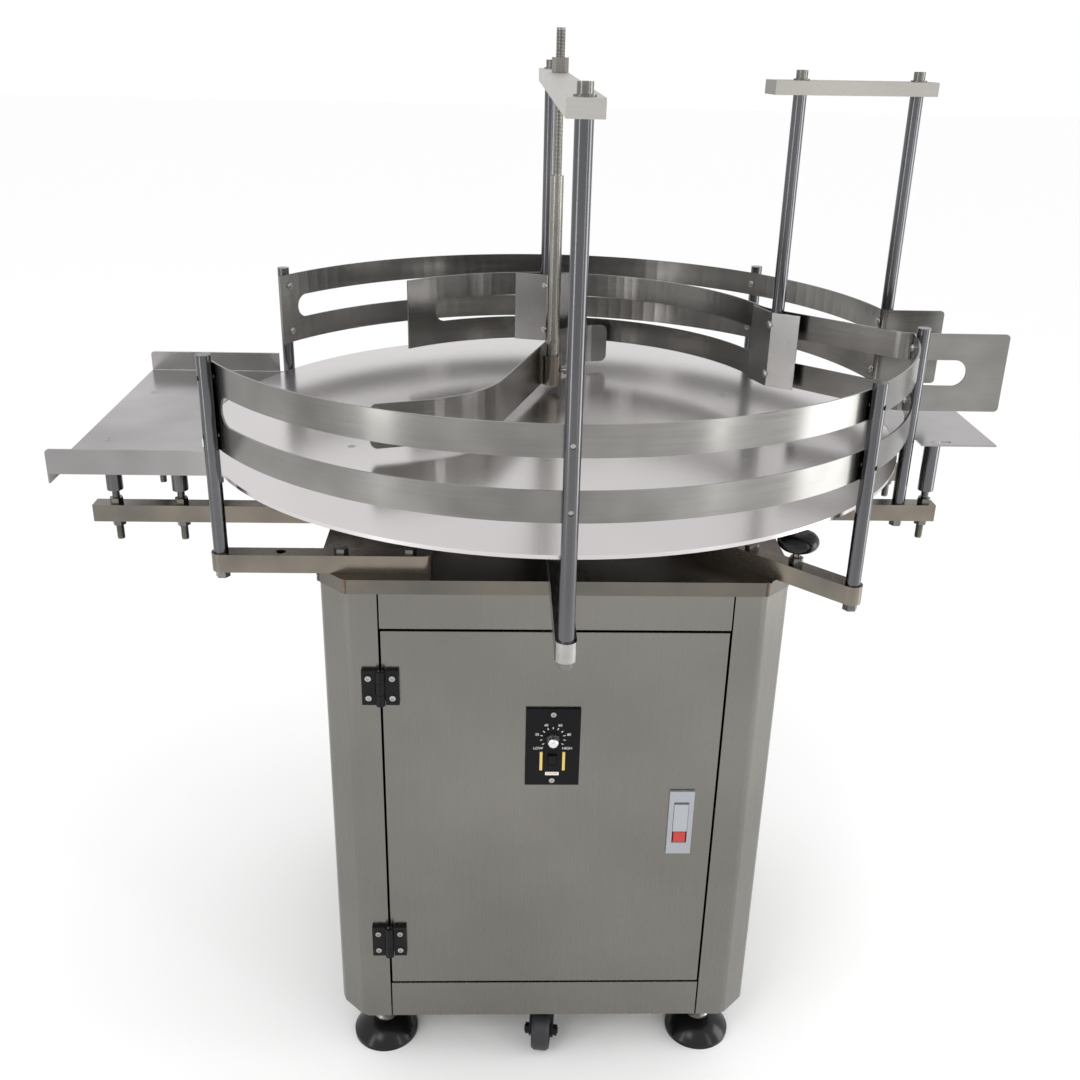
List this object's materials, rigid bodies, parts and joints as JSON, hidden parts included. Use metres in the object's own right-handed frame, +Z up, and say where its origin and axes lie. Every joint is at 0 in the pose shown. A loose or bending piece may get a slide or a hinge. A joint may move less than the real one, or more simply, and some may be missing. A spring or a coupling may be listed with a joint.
{
  "type": "rotary accumulation table",
  "caption": "Round turning steel table inside slotted guide rails on a sheet-metal drive cabinet, which collects bottles and leads them in single file to the outfeed plate.",
  "frame": {"origin": "on the floor under the axis of the disc", "axes": "+Z up, +X towards the outfeed plate, -Y towards the door"},
  "size_m": [1.037, 0.8416, 1.188],
  "materials": {
    "cabinet_steel": "brushed",
    "disc_steel": "fine turned",
    "rail_steel": "brushed",
    "post_steel": "polished",
    "arm_steel": "satin",
    "bright_steel": "plated",
    "bar_aluminium": "satin",
    "black_metal": "satin black",
    "black_plastic": "moulded",
    "black_rubber": "moulded",
    "wheel_rubber": "moulded",
    "latch_grey": "satin",
    "knob_metal": "turned",
    "red_plastic": "moulded",
    "cast_housing": "painted",
    "motor_grey": "cast"
  },
  "bodies": {
    "stand": {"cabinet_shell": "cabinet_steel", "top_cap": "cabinet_steel", "bottom_plate": "cabinet_steel", "front_panels": "cabinet_steel", "hinge_leaves_fixed": "black_metal", "hinge_pins": "bright_steel", "levelling_feet": "black_rubber", "caster_plates": "black_metal", "arm_front": "arm_steel", "arms_left": "arm_steel", "arms_infeed": "arm_steel", "arms_diagonal": "arm_steel", "arms_exit": "arm_steel", "arm_bolts": "bright_steel", "rest_pads": "black_rubber", "short_posts": "post_steel", "post_front": "post_steel", "post_exit": "post_steel", "hanging_posts": "post_steel", "post_bolts": "bright_steel", "front_rail": "rail_steel", "back_rail": "rail_steel", "lane_rail": "rail_steel", "rail_screws": "bright_steel", "post_guards": "rail_steel", "bridge_bar": "bar_aluminium", "lane_bar": "bar_aluminium", "infeed_plate": "disc_steel", "outfeed_plate": "disc_steel", "standoff_sleeves": "arm_steel", "standoff_rods": "bright_steel", "bearing_housing": "cast_housing", "gearhead": "motor_grey", "motor": "motor_grey", "motor_hanger": "cabinet_steel"},
    "turntable": {"turntable_disc": "disc_steel", "turntable_spider": "arm_steel", "turntable_shaft": "bright_steel", "shaft_coupling": "bright_steel", "gearhead_shaft": "bright_steel"},
    "door": {"door_panel": "cabinet_steel", "hinge_leaves_door": "black_metal", "speed_controller": "black_plastic", "latch_housing": "latch_grey"},
    "knob": {"speed_knob": "knob_metal"},
    "switch": {"run_switch": "black_plastic"},
    "paddle": {"latch_paddle": "latch_grey"},
    "release_button": {"latch_button": "red_plastic"},
    "tongue": {"latch_tongue": "bright_steel"},
    "diverter_mast": {"diverter_rod": "arm_steel"},
    "diverter": {"diverter_collar": "arm_steel", "diverter_guide": "rail_steel"},
    "caster_front": {"caster_fork_front": "black_metal"},
    "wheel_front": {"caster_wheel_front": "wheel_rubber"},
    "caster_rear": {"caster_fork_rear": "black_metal"},
    "wheel_rear": {"caster_wheel_rear": "wheel_rubber"},
    "caster_left": {"caster_fork_left": "black_metal"},
    "wheel_left": {"caster_wheel_left": "wheel_rubber"},
    "caster_right": {"caster_fork_right": "black_metal"},
    "wheel_right": {"caster_wheel_right": "wheel_rubber"}
  },
  "joints": [
    {"name": "turntable_spin", "type": "hinge", "parent": "stand", "child": "turntable", "pos_m": [0, 0, 0.7], "axis": [0, 0, 1], "continuous": true},
    {"name": "door_swing", "type": "hinge", "parent": "stand", "child": "door", "pos_m": [-0.18625, -0.2552, 0.363], "axis": [0, 0, -1], "range_deg": [0, 110]},
    {"name": "speed_knob_turn", "type": "hinge", "parent": "door", "child": "knob", "pos_m": [0, -0.2534, 0.4725], "axis": [0, 1, 0], "range_deg": [-150, 150]},
    {"name": "run_switch_rock", "type": "hinge", "parent": "door", "child": "switch", "pos_m": [0, -0.252, 0.445], "axis": [-1, 0, 0], "range_deg": [0, 24]},
    {"name": "latch_paddle_lift", "type": "hinge", "parent": "door", "child": "paddle", "pos_m": [0.148, -0.2505, 0.3835], "axis": [-1, 0, 0], "range_deg": [0, 40], "stiffness_Nm_per_rad": 0.05},
    {"name": "latch_tongue_slide", "type": "slide", "parent": "door", "child": "tongue", "axis": [-1, 0, 0], "range_m": [0, 0.008]},
    {"name": "latch_button_press", "type": "slide", "parent": "door", "child": "release_button", "axis": [0, 1, 0], "range_m": [0, 0.003], "stiffness_N_per_m": 400},
    {"name": "diverter_height", "type": "slide", "parent": "stand", "child": "diverter_mast", "axis": [0, 0, 1], "range_m": [0, 0.08]},
    {"name": "diverter_swivel", "type": "hinge", "parent": "diverter_mast", "child": "diverter", "pos_m": [0.005, 0.118, 0.78], "axis": [0, 0, 1], "range_deg": [-25, 2]},
    {"name": "caster_front_swivel", "type": "hinge", "parent": "stand", "child": "caster_front", "pos_m": [0, -0.212, 0.06], "axis": [0, 0, 1], "continuous": true},
    {"name": "caster_front_roll", "type": "hinge", "parent": "caster_front", "child": "wheel_front", "pos_m": [-0.00244, -0.23185, 0.028], "axis": [0.9925, -0.1219, 0], "continuous": true},
    {"name": "caster_rear_swivel", "type": "hinge", "parent": "stand", "child": "caster_rear", "pos_m": [0, 0.212, 0.06], "axis": [0, 0, 1], "continuous": true},
    {"name": "caster_rear_roll", "type": "hinge", "parent": "caster_rear", "child": "wheel_rear", "pos_m": [0.00347, 0.2317, 0.028], "axis": [-0.9848, 0.1736, 0], "continuous": true},
    {"name": "caster_left_swivel", "type": "hinge", "parent": "stand", "child": "caster_left", "pos_m": [-0.212, 0, 0.06], "axis": [0, 0, 1], "continuous": true},
    {"name": "caster_left_roll", "type": "hinge", "parent": "caster_left", "child": "wheel_left", "pos_m": [-0.23123, -0.00551, 0.028], "axis": [0.2756, -0.9613, 0], "continuous": true},
    {"name": "caster_right_swivel", "type": "hinge", "parent": "stand", "child": "caster_right", "pos_m": [0.212, 0, 0.06], "axis": [0, 0, 1], "continuous": true},
    {"name": "caster_right_roll", "type": "hinge", "parent": "caster_right", "child": "wheel_right", "pos_m": [0.23079, -0.00684, 0.028], "axis": [0.342, 0.9397, 0], "continuous": true}
  ],
  "couplings": [
    {"joint": "latch_tongue_slide", "follows": "latch_paddle_lift", "m_per_rad": 0.01145}
  ]
}
